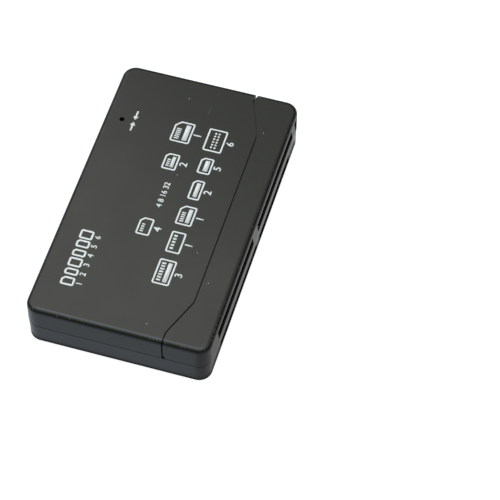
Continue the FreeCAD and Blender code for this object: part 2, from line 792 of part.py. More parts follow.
def build_socket_shell(socket):
    """A folded steel cover over the rails, with its sides down to the board and two windows in its roof."""
    body = new_body(f"{socket.name}_shell")
    left, right = socket.x - socket.body / 2, socket.x + socket.body / 2
    foot, under = level(socket.side, 0), level(socket.side, socket.roof)
    over = level(socket.side, socket.roof + s.sheet)
    sketch = upright_sketch(body, socket.back)
    polygon(sketch, [(left - s.sheet, foot), (left, foot), (left, under), (right, under), (right, foot),
                     (right + s.sheet, foot), (right + s.sheet, over), (left - s.sheet, over)])
    pad(body, sketch, socket.depth - s.socket_setback)
    roof_top = slab_floor(socket.side, socket.roof, socket.roof + s.sheet) + s.sheet
    sketch = level_sketch(body, roof_top)
    window_half, quarter = socket.rail / 2, socket.width / 4
    window_front, window_back = socket.back - socket.depth / 2, socket.back - s.back_wall
    for x in (socket.x - quarter, socket.x + quarter):
        rectangle(sketch, x - window_half, x + window_half, window_front, window_back)
    pocket(body, sketch, s.sheet)
    return body


def strip_row(body, profile, first_x, width, pitch, count):
    """A row of like strips: a side profile given a width and repeated along X."""
    sketch = side_sketch(body, first_x - width / 2)
    polygon(sketch, profile)
    return row(body, pad(body, sketch, width), pitch, count)


def build_socket_contacts(socket):
    """Springs that lie on the board behind the socket, pass under its wall and rise into the card's way."""
    body = new_body(f"{socket.name}_contacts")
    root = socket.back - s.back_wall - s.spring_root
    tip = socket.back - s.back_wall - socket.spring
    tail = socket.back + s.spring_tail
    under = [(tail, as_size(0)), (root, as_size(0)), (tip, socket.base + s.spring_lift)]
    over = [(y, height + s.spring_sheet) for y, height in reversed(under)]
    profile = [(y, level(socket.side, height)) for y, height in under + over]
    first_x = socket.x - socket.pitch * ((socket.contacts - 1) / 2)
    strip_row(body, profile, first_x, socket.strip, socket.pitch, socket.contacts)
    return body


def build_pin_card_header():
    """A bar bored for the pins, with grooved arms that guide the card in from the rear."""
    body = new_body("pin_card_header")
    left, right = header_x - header_half, header_x + header_half
    arm = s.guide_wall + s.groove_depth
    sketch = level_sketch(body, board_top)
    polygon(sketch, [(left, header_back), (right, header_back), (right, guide_end),
                     (right - arm, guide_end), (right - arm, header_face), (left + arm, header_face),
                     (left + arm, guide_end), (left, guide_end)])
    pad(body, sketch, s.header_height)
    sketch = upright_sketch(body, guide_end + OVERCUT)
    rectangle(sketch, header_x - groove_span / 2, header_x + groove_span / 2, groove_low, groove_high)
    pocket(body, sketch, s.guide_length + OVERCUT, along_normal=True)
    sketch = upright_sketch(body, header_face + OVERCUT)
    half = s.pin_square / 2
    for height in pin_rows:
        rectangle(sketch, first_pin_x - half, first_pin_x + half, height - half, height + half)
    bores = pocket(body, sketch, s.header_thickness + OVERCUT * 2, along_normal=True)
    row(body, bores, s.pin_pitch, HEADER_COLUMNS)
    return body


def build_pin_card_pins():
    """Two rows of square pins through the bar, each bent down behind it to the board."""
    body = new_body("pin_card_pins")
    half = s.pin_square / 2
    tip = header_face + s.pin_reach
    for step, height in enumerate(pin_rows):
        leg_front = header_back - s.pin_leg_step - s.pin_pitch * step
        leg_back = leg_front - s.pin_square
        profile = [(tip, height - half), (tip, height + half), (leg_back, height + half),
                   (leg_back, board_top), (leg_front, board_top), (leg_front, height - half)]
        strip_row(body, profile, first_pin_x, s.pin_square, s.pin_pitch, HEADER_COLUMNS)
    return body


def inlet_outline(sketch, inset):
    """The inlet's section, broad above and waisted below, moved in by the sheet or a clearance."""
    inset = as_size(inset)
    half, waist = s.inlet_width / 2 - inset, s.inlet_waist / 2 - inset
    low, high = board_top + inset, inlet_top - inset
    waist_top = board_top + s.inlet_waist_height
    shoulder = waist_top + (s.inlet_width - s.inlet_waist) / 2
    polygon(sketch, [(inlet_x - waist, low), (inlet_x + waist, low), (inlet_x + waist, waist_top),
                     (inlet_x + half, shoulder), (inlet_x + half, high), (inlet_x - half, high),
                     (inlet_x - half, shoulder), (inlet_x - waist, waist_top)])


def build_usb_inlet_shell():
    body = new_body("usb_inlet_shell")
    sketch = upright_sketch(body, inlet_mouth)
    inlet_outline(sketch, 0)
    inlet_outline(sketch, s.inlet_sheet)
    pad(body, sketch, s.inlet_depth)
    return body


def build_usb_inlet_insulator():
    body = new_body("usb_inlet_insulator")
    sketch = upright_sketch(body, inlet_back + s.inlet_block)
    inlet_outline(sketch, s.inlet_sheet)
    pad(body, sketch, s.inlet_block)
    low = board_top + s.inlet_tongue_height
    half = s.inlet_tongue_width / 2
    sketch = upright_sketch(body, inlet_mouth - s.inlet_tongue_setback)
    rectangle(sketch, inlet_x - half, inlet_x + half, low, low + s.inlet_tongue_thickness)
    pad(body, sketch, s.inlet_depth - s.inlet_block - s.inlet_tongue_setback)
    return body


def build_usb_inlet_contacts():
    body = new_body("usb_inlet_contacts")
    low = board_top + s.inlet_tongue_height + s.inlet_tongue_thickness
    high = low + s.spring_sheet
    back, front = inlet_back + s.inlet_block, inlet_mouth - s.inlet_contact_setback
    profile = [(back, low), (front, low), (front, high), (back, high)]
    first_x = inlet_x - s.inlet_pitch * ((INLET_CONTACTS - 1) / 2)
    strip_row(body, profile, first_x, s.inlet_strip, s.inlet_pitch, INLET_CONTACTS)
    return body


# Small parts stand in a line behind the stick card's socket, each clear of the one before it
lead_reach = s.lead_shoulder + s.lead_foot
chip_half = s.chip_width / 2 + lead_reach
capacitor_y = place("capacitor_y", stick_card.back + s.spring_tail + s.part_spacing
                    + s.capacitor_width / 2)
chip_x = place("chip_x", half_length - s.chip_from_end)
chip_y = place("chip_y", capacitor_y + s.capacitor_width / 2 + s.part_spacing + chip_half)
crystal_y = place("crystal_y", chip_y + chip_half + s.part_spacing + s.crystal_width / 2)


def build_controller_chip():
    body = new_body("controller_chip")
    sketch = level_sketch(body, board_top + s.chip_standoff)
    rectangle(sketch, chip_x - s.chip_length / 2, chip_x + s.chip_length / 2,
              chip_y - s.chip_width / 2, chip_y + s.chip_width / 2)
    block = pad(body, sketch, s.chip_height)
    top = board_top + s.chip_standoff + s.chip_height
    brim = lambda box: lies_at_height(box, top)
    dress(body, "Chamfer", block, edges_where(block, brim), "Size", s.lead_sheet)
    return body


def build_controller_leads():
    """Two rows of bent leads that hold the chip off the board."""
    body = new_body("controller_leads")
    exit_height = board_top + s.chip_standoff + s.chip_height / 2
    first_x = chip_x - s.chip_pitch * ((CHIP_LEADS_PER_SIDE - 1) / 2)
    for outward in (-1, 1):
        face = s.chip_width / 2
        heel, toe = face + s.lead_shoulder, face + lead_reach
        under = [(face, exit_height), (heel, board_top), (toe, board_top)]
        shape = under + [(reach, height + s.lead_sheet) for reach, height in reversed(under)]
        profile = [(chip_y + reach * outward, height) for reach, height in shape]
        strip_row(body, profile, first_x, s.lead_width, s.chip_pitch, CHIP_LEADS_PER_SIDE)
    return body


def build_crystal_can():
    """A drawn can with round ends."""
    body = new_body("crystal_can")
    x, y = half_length - s.crystal_from_end, crystal_y
    half_x, half_y = s.crystal_length / 2, s.crystal_width / 2
    sketch = level_sketch(body, board_top)
    rounded_rectangle(sketch, x - half_x, x + half_x, y - half_y, y + half_y, s.crystal_corner)
    pad(body, sketch, s.crystal_height)
    return body


def build_activity_light():
    body = new_body("activity_light")
    for trim, base, height in ((as_size(0), board_top, s.light_height),
                               (s.light_lens, board_top + s.light_height, s.light_lens)):
        half_x, half_y = s.light_length / 2 - trim, s.light_width / 2
        sketch = level_sketch(body, base)
        rectangle(sketch, light_x - half_x, light_x + half_x, light_y - half_y, light_y + half_y)
        pad(body, sketch, height)
    return body


def build_chip_row(label, first_x, y, length, width, height, pitch, count):
    """Like small parts in a row on the board."""
    body = new_body(label)
    profile = [(y - width / 2, board_top), (y + width / 2, board_top),
               (y + width / 2, board_top + height), (y - width / 2, board_top + height)]
    strip_row(body, profile, first_x, length, pitch, count)
    return body


def build_capacitors():
    first_x = half_length - s.capacitor_from_end - s.capacitor_pitch * (CAPACITORS - 1)
    return build_chip_row("capacitors", first_x, capacitor_y, s.capacitor_length, s.capacitor_width,
                          s.capacitor_height, s.capacitor_pitch, CAPACITORS)


def build_resistors():
    first_x = half_length - s.resistor_from_end - s.resistor_pitch * (RESISTORS - 1)
    return build_chip_row("resistors", first_x, half_width - s.resistor_from_rear, s.resistor_length,
                          s.resistor_width, s.resistor_height, s.resistor_pitch, RESISTORS)


def build_all():
    bodies = [build_bottom_cover(), build_top_cover(), build_front_cover(), build_circuit_board()]
    for socket in SOCKETS:
        bodies += [build_socket_body(socket), build_socket_shell(socket), build_socket_contacts(socket)]
    bodies += [build_pin_card_header(), build_pin_card_pins(), build_usb_inlet_shell(),
               build_usb_inlet_insulator(), build_usb_inlet_contacts(), build_controller_chip(),
               build_controller_leads(), build_crystal_can(), build_activity_light(), build_capacitors(),
               build_resistors()]
    return bodies


def export(bodies):
    """Writes each piece once every object of the document is found to be sound."""
    doc.recompute()
    for item in doc.Objects:
        if "Invalid" in item.State or "Error" in item.State:
            raise RuntimeError(f"{item.Label} failed: {item.State}")
    for body in bodies:
        if body.Shape.isNull() or not body.Shape.isValid():
            raise RuntimeError(f"{body.Label} has no sound shape")
    os.makedirs("parts", exist_ok=True)
    for body in bodies:
        body.Shape.exportStep(os.path.join("parts", f"{body.Label}.step"))


doc.recompute()
export(build_all())
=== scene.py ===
"""Looks of a desktop memory card reader: a finish for every piece, the print on its lid, light and camera.

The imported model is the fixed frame, in metres: X runs along the case, -Y out of the card windows, Z up.
The file is laid out as an add-on and is run as a script.
"""
import json
import math
from typing import NamedTuple

import bpy
import numpy as np
from bpy.props import FloatProperty, FloatVectorProperty, PointerProperty
from bpy.types import NodeSocket, Operator, Panel, PropertyGroup
from mathutils import Matrix, Vector


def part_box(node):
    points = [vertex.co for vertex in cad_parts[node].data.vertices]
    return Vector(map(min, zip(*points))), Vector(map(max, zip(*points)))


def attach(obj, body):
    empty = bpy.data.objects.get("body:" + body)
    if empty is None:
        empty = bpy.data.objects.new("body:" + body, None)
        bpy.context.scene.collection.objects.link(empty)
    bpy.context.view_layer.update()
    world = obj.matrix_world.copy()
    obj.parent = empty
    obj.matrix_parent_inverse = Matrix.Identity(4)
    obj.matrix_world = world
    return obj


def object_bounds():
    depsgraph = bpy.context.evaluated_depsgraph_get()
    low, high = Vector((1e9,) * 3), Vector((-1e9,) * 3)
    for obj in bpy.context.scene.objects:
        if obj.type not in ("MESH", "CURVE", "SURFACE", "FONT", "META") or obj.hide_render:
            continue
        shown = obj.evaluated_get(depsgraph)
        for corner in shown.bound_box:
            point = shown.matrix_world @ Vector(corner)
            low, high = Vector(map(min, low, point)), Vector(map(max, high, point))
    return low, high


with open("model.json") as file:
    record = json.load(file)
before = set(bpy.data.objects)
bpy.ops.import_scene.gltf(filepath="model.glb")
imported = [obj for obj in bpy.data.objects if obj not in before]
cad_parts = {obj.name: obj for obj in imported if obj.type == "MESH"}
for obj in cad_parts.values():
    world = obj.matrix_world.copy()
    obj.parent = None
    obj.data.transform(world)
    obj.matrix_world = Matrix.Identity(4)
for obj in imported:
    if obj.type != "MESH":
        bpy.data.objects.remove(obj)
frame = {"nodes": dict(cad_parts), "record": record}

bl_info = {
    "name": "Card Reader Looks",
    "version": (1, 0, 0),
    "blender": (4, 5, 0),
    "location": "View3D > Sidebar > Card Reader",
    "description": "Finishes, lid print, light and camera for a desktop memory card reader",
    "category": "Object",
}

CAD_BOX = [list(corner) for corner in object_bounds()]
MM = 0.001
LID_LOW, LID_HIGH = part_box("top_cover")

# Points on a drawn corner's arc, on a drawn pin, and on each curve of a number
ARC_STEPS = 6
CIRCLE_STEPS = 20
FIGURE_STEPS = 3
# How much bolder than the font the numbers are, as a share of its size
FIGURE_BOLDNESS = 0.02

# Contacts and pins of a drawn card: shares of the card's height and then of their own spacing
CONTACT_HEIGHT = 0.27
CONTACT_WIDTH = 0.62
CONTACT_CORNER = 0.15
PIN_RADIUS = 0.32
# Height of a drawn card's label, as a share of the card's, below a row of contacts and alone
LABEL_HEIGHT = 0.27
LONE_LABEL_HEIGHT = 0.4
# Arrows: the shaft's width, the head's length and the rounding of the corners, as shares of the head's width
SHAFT_WIDTH = 1 / 3
HEAD_LENGTH = 0.8
ARROW_ROUNDING = 0.05

# Sockets of a Mix node for colours: the second colour's share, the two colours, and the result
MIX_SHARE, MIX_FIRST, MIX_SECOND, MIX_RESULT = 0, 6, 7, 2
# Sockets of a Mix node for numbers, which has the share in the same place: the two numbers
MIX_FIRST_NUMBER, MIX_SECOND_NUMBER = 2, 3

SENSOR_WIDTH_MM = 36
NEAREST_SEEN = 0.01
FARTHEST_SEEN = 20
SHEET_SIDE = 4.0


def linear(hex_colour):
    """Turns an sRGB hex value, such as 3a3a38, into linear red, green and blue."""
    srgb = np.array([int(hex_colour[start:start + 2], 16) for start in (0, 2, 4)]) / 255
    shade = np.where(srgb <= 0.04045, srgb / 12.92, ((srgb + 0.055) / 1.055) ** 2.4)
    return tuple(float(part) for part in shade)


def colour(name, description, hex_colour):
    return FloatVectorProperty(name=name, description=description, default=linear(hex_colour),
                               subtype="COLOR", size=3, min=0, max=1)


def length(name, description, millimetres):
    return FloatProperty(name=name, description=description, default=millimetres * MM,
                         unit="LENGTH", subtype="DISTANCE", precision=5)


def angle(name, description, degrees):
    return FloatProperty(name=name, description=description, default=math.radians(degrees),
                         unit="ROTATION", subtype="ANGLE")


def share(name, description, default):
    return FloatProperty(name=name, description=description, default=default, min=0, max=1,
                         subtype="FACTOR")


def glow(name, description, strength):
    return FloatProperty(name=name, description=description, default=strength, min=0, unit="NONE")


def power(name, description, watts):
    return FloatProperty(name=name, description=description, default=watts, min=0, unit="POWER")


class ReaderCase(PropertyGroup):
    """Moulded shells of the case."""

    black: colour("Black", "Colour of the moulded shells", "141413")
    rubbed: colour("Rubbed", "Colour where the matt skin is a little rubbed", "181817")
    dust: colour("Dust", "Colour of the dust specks and scuffs", "c8c8c4")
    roughness: share("Roughness", "How matt the moulded skin is", 0.2)
    grain: length("Grain", "Width of a pit of the mould's eroded skin, coarse enough to show", 0.45)
    grain_depth: length("Grain Depth", "How deep the pits of the skin are", 0.002)
    mottle: length("Mottle", "Width of the cloudy patches on the lid", 14)
    speck: length("Speck", "Radius of a dust speck", 0.11)
    speck_spacing: length("Speck Spacing", "Distance between places where a speck may lie", 6.5)
    speck_share: share("Speck Share", "Share of those places that have a speck", 0.22)
    edge_speck: length("Edge Speck", "Radius of a worn spot on a rounded edge", 0.09)
    edge_spacing: length("Edge Spacing", "Distance between places where an edge may be worn", 0.9)
    edge_share: share("Edge Share", "Share of those places that are worn", 0.3)
    edge_wear: share("Edge Wear", "How much of the dust's colour a worn spot takes", 0.3)
    scuff_length: length("Scuff Length", "Half the length of a faint scuff", 1.5)
    scuff_width: length("Scuff Width", "Half the width of a faint scuff", 0.12)
    scuff_spacing: length("Scuff Spacing", "Distance between places where a scuff may lie", 2.2)
    scuff_share: share("Scuff Share", "Share of those places that are scuffed", 0.14)
    scuff_turn: angle("Scuff Turn", "Direction of the scuffs on the lid", 35)
    scuff_strength: share("Scuff Strength", "How much paler than the skin a scuff is", 0.05)


class ReaderFittings(PropertyGroup):
    """Sockets, inlet, board and the small parts on it."""

    socket_black: colour("Socket", "Glass-filled plastic of the sockets", "161617")
    inlet_black: colour("Inlet Core", "Plastic of the inlet's tongue", "101011")
    steel: colour("Steel", "Folded covers of the sockets", "b4b3ae")
    tin: colour("Tin", "Tinned shell of the inlet and the chip's leads", "c6c5c0")
    gold: colour("Gold", "Springs and pins", "d8b060")
    nickel: colour("Nickel", "Metal that shows through the thin gold", "b9a47c")
    resist: colour("Resist", "Green lacquer of the board", "0d4a28")
    trace: colour("Trace", "Lacquer over copper tracks", "17693a")
    epoxy: colour("Epoxy", "Body of the controller chip", "1a1a1c")
    can: colour("Can", "Drawn can of the crystal", "bdbab2")
    ceramic: colour("Ceramic", "Capacitors", "9a7447")
    resistor: colour("Resistor", "Coated resistors", "141416")
    lens: colour("Lens", "Clear lens of the activity light", "d9d8c8")
    lens_haze: colour("Lens Haze", "Milky patches in the lens", "bdbb9f")
    sheet_edge: length("Sheet Edge", "Rounding of folded sheet edges", 0.05)
    plastic_edge: length("Plastic Edge", "Rounding of the sockets' moulded edges", 0.08)


class ReaderPrint(PropertyGroup):
    """White screen print on the lid."""

    white: colour("White", "Colour of the ink", "f2f2f4")
    worn: colour("Worn", "Colour where the ink lies thin", "d6d6da")
    film: length("Film", "Thickness of the ink", 0.02)
    bite: length("Bite", "How deep the ink soaks into the matt skin", 0.01)
    line: length("Line", "Width of a drawn line", 0.5)
    bold_line: length("Bold Line", "Width of a line in the legend", 0.6)
    corner: length("Corner", "Radius of a drawn card's corners", 0.35)
    figure: length("Figure", "Height of the slot numbers", 2.3)
    small_figure: length("Small Figure", "Height of the small numbers", 1.8)
    figure_gap: length("Figure Gap", "Clear space between a symbol and its number", 0.7)
    row_end: length("Row End", "From the lid's far end to the end of both rows", 16.5)
    front_row_start: length("Front Row Start", "From the lid's near end to the front row", 18.4)
    front_row: length("Front Row", "From the middle of the case to the front row, outwards", 8.5)
    rear_row_start: length("Rear Row Start", "From the lid's near end to the rear row", 33.2)
    rear_row: length("Rear Row", "From the middle of the case to the rear row, inwards", 1.6)
    legend_start: length("Legend Start", "From the lid's near end to the legend", 12.2)
    legend_row: length("Legend Row", "From the middle of the case to the legend's cards", 17.9)
    legend_card: length("Legend Card", "Height of a card in the legend", 3.4)
    legend_pitch: length("Legend Pitch", "Spacing of the cards in the legend", 3.3)
    arrow_start: length("Arrow Start", "From the lid's far end to the activity arrows", 16.6)
    arrow_length: length("Arrow Length", "Length of an activity arrow", 3.4)
    arrow_head: length("Arrow Head", "Width of an activity arrow's head", 1.7)


class ReaderStage(PropertyGroup):
    """Camera, floor and lights."""

    azimuth: angle("Azimuth", "Turn of the camera round the reader", -73.835)
    elevation: angle("Elevation", "Height of the camera above the horizon", 54.526)
    roll: angle("Roll", "Turn of the picture", 0.479)
    distance: length("Distance", "From the camera to the point that it looks at", 666.538)
    target_x: length("Target X", "Point that the camera looks at", -3.327)
    target_y: length("Target Y", "Point that the camera looks at", -26.069)
    target_z: length("Target Z", "Point that the camera looks at", 7.0)
    lens: FloatProperty(name="Lens", description="Focal length on a 36 mm sensor",
                        default=168.04, unit="CAMERA")
    paper: colour("Paper", "White paper, as the camera sees it", "747474")
    paper_glow: glow("Paper Glow", "Light that comes through the paper to the camera", 0.96)
    table: colour("Table", "Lit table top, as the ends and the rear of the case mirror it", "e8f4ff")
    table_front: colour("Table Front", "Lit table top, as the windows' side mirrors it", "f2f5f3")
    table_glow: glow("Table Glow", "Light that the table top throws on the sides of the case", 0.74)
    footprint_corner: length("Footprint Corner", "Radius of the case's upright corners", 4)
    # Painted contact shadow and painted shade by the near front corner, in the table's glow
    contact_reach: length("Contact Reach", "How far from the case the table is dimmed by it", 1.2)
    contact_shade: share("Contact Shade", "Share of its light that the table gives under the case", 0.05)
    corner_shade: share("Corner Shade", "Share of its light that the table gives by the near front corner",
                        0.65)
    corner_fade: length("Corner Fade", "Width over which the table dims towards the windows' side", 8)
    overhead: power("Overhead", "Large soft light above", 1.35)
    overhead_warmth: colour("Overhead Warmth", "Colour of the light above", "fdfdf4")
    overhead_along: length("Overhead Along", "How far the light above stands towards the far end", 162)
    overhead_height: length("Overhead Height", "Height of the light above", 500)
    overhead_back: length("Overhead Back", "How far the light above stands back from the windows", 360)
    overhead_side: length("Overhead Side", "Side of the light above", 650)
    ceiling: power("Ceiling", "Wide light straight above, which keeps the floor bright all round", 4.5)
    ceiling_tint: colour("Ceiling Tint", "Colour of the light straight above", "cfe2ff")
    ceiling_height: length("Ceiling Height", "Height of the light straight above", 1200)
    ceiling_side: length("Ceiling Side", "Side of the light straight above", 800)
    room_tint: colour("Room Tint", "Colour of the room's light", "f9fff4")
    horizon: glow("Horizon", "Light of the room's walls", 0.06)
    zenith: glow("Zenith", "Light of the room's ceiling", 1.27)
    wall_top: share("Wall Top", "Sine of the height at which the walls begin to brighten", 0.38)
    wall_fade: share("Wall Fade", "Sine of the height at which the room is as bright as at its zenith", 0.95)


class ReaderLooks(PropertyGroup):
    """All that a user would change."""

    case: PointerProperty(type=ReaderCase)
    fittings: PointerProperty(type=ReaderFittings)
    ink: PointerProperty(type=ReaderPrint)
    stage: PointerProperty(type=ReaderStage)


def settings():
    return bpy.context.scene.reader_looks


def add_node(tree, kind, inputs=(), **properties):
    """Adds a node, sets its properties, and gives each named input a value or, from a socket, a link."""
    made = tree.nodes.new(kind)
    for name, value in properties.items():
        setattr(made, name, value)
    for key, value in dict(inputs).items():
        if isinstance(value, NodeSocket):
            tree.links.new(value, made.inputs[key])
        else:
            made.inputs[key].default_value = value
    return made


def opaque(shade):
    return (*shade, 1.0)


def new_material(name, **values):
    """A material with the shader's own sockets set: underscores in a name stand for spaces."""
    material = bpy.data.materials.new(name)
    material.use_nodes = True
    shader = material.node_tree.nodes["Principled BSDF"]
    for key, value in values.items():
        socket = shader.inputs[key.replace("_", " ")]
        socket.default_value = opaque(value) if socket.type == "RGBA" else value
    return material, material.node_tree, shader


def tint_surface(tree, shader, pattern, plain, marked):
    """Colours a surface between two colours, by a pattern that gives the second one's share."""
    mix = add_node(tree, "ShaderNodeMix", {MIX_SHARE: pattern, MIX_FIRST: opaque(plain),
                                           MIX_SECOND: opaque(marked)}, data_type="RGBA")
    tree.links.new(mix.outputs[MIX_RESULT], shader.inputs["Base Color"])


def flecks(tree, place, radius, chosen):
    """Scattered spots, seen from above: one in each of a chosen share of Voronoi cells.

    The place and the radius are measured in cells.
    """
    softness = 0.3
    cells = add_node(tree, "ShaderNodeTexVoronoi", {"Vector": place, "Scale": 1.0}, voronoi_dimensions="2D")
    spot = add_node(tree, "ShaderNodeMapRange", {"Value": cells.outputs["Distance"],
                                                 "From Min": radius * (1 + softness),
                                                 "From Max": radius * (1 - softness)})
    kept = add_node(tree, "ShaderNodeMath", {0: cells.outputs["Color"], 1: 1 - chosen},
                    operation="GREATER_THAN")
    return add_node(tree, "ShaderNodeMath", {0: spot.outputs["Result"], 1: kept.outputs[0]},
                    operation="MULTIPLY").outputs[0]


def moulded_abs(case):
    # ABS from a spark-eroded mould: matt black with a fine even grain that breaks up every reflection,
    # cloudy where hands have rubbed it, with dust and faint scuffs on what faces up and wear on round edges.
    material, tree, shader = new_material("moulded_black_abs", IOR=1.45)
    place = add_node(tree, "ShaderNodeTexCoord").outputs["Object"]
    cloud_from, cloud_to = 0.35, 0.7
    mottle = add_node(tree, "ShaderNodeTexNoise",
                      {"Vector": place, "Scale": 1 / case.mottle, "Detail": 4.0, "Roughness": 0.6})
    cloud = add_node(tree, "ShaderNodeMapRange", {"Value": mottle.outputs["Fac"], "From Min": cloud_from,
                                                  "From Max": cloud_to}).outputs["Result"]
    skin = add_node(tree, "ShaderNodeMix", {MIX_SHARE: cloud, MIX_FIRST: opaque(case.black),
                                            MIX_SECOND: opaque(case.rubbed)}, data_type="RGBA")
    used = add_node(tree, "ShaderNodeMix", {MIX_SHARE: dirt(tree, place, case),
                                            MIX_FIRST: skin.outputs[MIX_RESULT],
                                            MIX_SECOND: opaque(case.dust)}, data_type="RGBA")
    tree.links.new(used.outputs[MIX_RESULT], shader.inputs["Base Color"])

    unrubbed_gain, rubbed_loss = 0.04, 0.03
    matt = add_node(tree, "ShaderNodeMapRange", {"Value": cloud, "To Min": case.roughness + unrubbed_gain,
                                                 "To Max": case.roughness - rubbed_loss})
    tree.links.new(matt.outputs["Result"], shader.inputs["Roughness"])
    grain = add_node(tree, "ShaderNodeTexNoise", {"Vector": place, "Scale": 1 / case.grain, "Detail": 2.0})
    bump = add_node(tree, "ShaderNodeBump", {"Height": grain.outputs["Fac"], "Distance": case.grain_depth})
    tree.links.new(bump.outputs["Normal"], shader.inputs["Normal"])
    return material


def dirt(tree, place, case):
    """How much dust colour a place takes: dust and scuffs on level faces, wear on rounded edges.

    The upward part of a face's normal tells the two apart.
    """
    normal = add_node(tree, "ShaderNodeNewGeometry").outputs["Normal"]
    upward = add_node(tree, "ShaderNodeSeparateXYZ", {"Vector": normal}).outputs["Z"]
    level_from = 0.98
    round_middle, round_reach = 0.75, 0.2
    level = add_node(tree, "ShaderNodeMath", {0: upward, 1: level_from}, operation="GREATER_THAN").outputs[0]
    rounded = add_node(tree, "ShaderNodeMath", {0: upward, 1: round_middle, 2: round_reach},
                       operation="COMPARE").outputs[0]

    dust_place = add_node(tree, "ShaderNodeMapping",
                          {"Vector": place, "Scale": (1 / case.speck_spacing,) * 3}).outputs["Vector"]
    dust = flecks(tree, dust_place, case.speck / case.speck_spacing, case.speck_share)
    stretch = case.scuff_length / case.scuff_width
    scuff_cell = (1 / case.scuff_spacing / stretch, 1 / case.scuff_spacing, 1)
    scuff_place = add_node(tree, "ShaderNodeMapping", {"Vector": place, "Rotation": (0, 0, case.scuff_turn),
                                                       "Scale": scuff_cell}).outputs["Vector"]
    scuff = flecks(tree, scuff_place, case.scuff_width / case.scuff_spacing, case.scuff_share)
    faint = add_node(tree, "ShaderNodeMath", {0: scuff, 1: case.scuff_strength},
                     operation="MULTIPLY").outputs[0]
    lying = add_node(tree, "ShaderNodeMath", {0: dust, 1: faint}, operation="MAXIMUM").outputs[0]
    lying = add_node(tree, "ShaderNodeMath", {0: lying, 1: level}, operation="MULTIPLY").outputs[0]

    edge_place = add_node(tree, "ShaderNodeMapping",
                          {"Vector": place, "Scale": (1 / case.edge_spacing,) * 3}).outputs["Vector"]
    worn = flecks(tree, edge_place, case.edge_speck / case.edge_spacing, case.edge_share)
    worn = add_node(tree, "ShaderNodeMath", {0: worn, 1: rounded}, operation="MULTIPLY").outputs[0]
    worn = add_node(tree, "ShaderNodeMath", {0: worn, 1: case.edge_wear}, operation="MULTIPLY").outputs[0]
    return add_node(tree, "ShaderNodeMath", {0: lying, 1: worn}, operation="MAXIMUM").outputs[0]


def filled_plastic(name, shade, roughness):
    # Glass-filled socket plastic: satin black, with short pale fibres just under the skin.
    material, tree, shader = new_material(name, IOR=1.6)
    place = add_node(tree, "ShaderNodeTexCoord").outputs["Object"]
    fibre_length, fibre_width = 0.9 * MM, 0.12 * MM
    stretched = add_node(tree, "ShaderNodeMapping",
                         {"Vector": place, "Scale": (1 / fibre_width, 1 / fibre_length, 1 / fibre_width)})
    fibres = add_node(tree, "ShaderNodeTexNoise",
                      {"Vector": stretched.outputs["Vector"], "Scale": 1.0, "Detail": 2.0}).outputs["Fac"]
    between_fibres, on_fibres = roughness - 0.1, roughness + 0.12
    satin = add_node(tree, "ShaderNodeMapRange",
                     {"Value": fibres, "To Min": between_fibres, "To Max": on_fibres})
    tree.links.new(satin.outputs["Result"], shader.inputs["Roughness"])
    paler, milky = 2.2, 0.004
    pale = tuple(part * paler + milky for part in shade)
    tint_surface(tree, shader, fibres, shade, pale)
    return material


def rolled_sheet(name, shade, roughness):
    # Rolled and tinned sheet: bright metal with fine streaks along the rolling direction and dull patches.
    material, tree, shader = new_material(name, Metallic=1.0)
    place = add_node(tree, "ShaderNodeTexCoord").outputs["Object"]
    streak_width, streak_length, streak_depth = 0.15 * MM, 9 * MM, 0.004 * MM
    stretched = add_node(tree, "ShaderNodeMapping",
                         {"Vector": place, "Scale": (1 / streak_width, 1 / streak_length, 1 / streak_width)})
    streaks = add_node(tree, "ShaderNodeTexNoise",
                       {"Vector": stretched.outputs["Vector"], "Scale": 1.0, "Detail": 3.0}).outputs["Fac"]
    bright, dull = roughness - 0.1, roughness + 0.14
    patches = add_node(tree, "ShaderNodeMapRange", {"Value": streaks, "To Min": bright, "To Max": dull})
    tree.links.new(patches.outputs["Result"], shader.inputs["Roughness"])
    streak_shade = 0.72
    darker = tuple(part * streak_shade for part in shade)
    tint_surface(tree, shader, streaks, shade, darker)
    bump = add_node(tree, "ShaderNodeBump", {"Height": streaks, "Strength": 0.4, "Distance": streak_depth})
    tree.links.new(bump.outputs["Normal"], shader.inputs["Normal"])
    return material


def gold_flash(fittings):
    # Gold flash over nickel: warm, bright and a little cloudy, because the layer is very thin.
    material, tree, shader = new_material("gold_flashed_springs", Metallic=1.0)
    place = add_node(tree, "ShaderNodeTexCoord").outputs["Object"]
    cloud_width = 1.2 * MM
    cloud = add_node(tree, "ShaderNodeTexNoise",
                     {"Vector": place, "Scale": 1 / cloud_width, "Detail": 2.0}).outputs["Fac"]
    bright, dull = 0.2, 0.36
    sheen = add_node(tree, "ShaderNodeMapRange", {"Value": cloud, "To Min": bright, "To Max": dull})
    tree.links.new(sheen.outputs["Result"], shader.inputs["Roughness"])
    tint_surface(tree, shader, cloud, fittings.gold, fittings.nickel)
    return material


def lacquered_board(fittings):
    # Green solder resist: a glossy lacquer, lighter over the copper tracks, whose edges stand up a little.
    material, tree, shader = new_material("green_lacquered_board", Roughness=0.32)
    place = add_node(tree, "ShaderNodeTexCoord").outputs["Object"]
    track_spacing, track_depth = 1.6 * MM, 0.03 * MM
    gap_edge, track_edge = 0.3, 0.36
    cells = add_node(tree, "ShaderNodeTexVoronoi", {"Vector": place, "Scale": 1 / track_spacing},
                     distance="CHEBYCHEV", voronoi_dimensions="2D")
    tracks = add_node(tree, "ShaderNodeMapRange", {"Value": cells.outputs["Distance"], "From Min": gap_edge,
                                                   "From Max": track_edge}).outputs["Result"]
    tint_surface(tree, shader, tracks, fittings.resist, fittings.trace)
    bump = add_node(tree, "ShaderNodeBump", {"Height": tracks, "Strength": 0.5, "Distance": track_depth})
    tree.links.new(bump.outputs["Normal"], shader.inputs["Normal"])
    return material


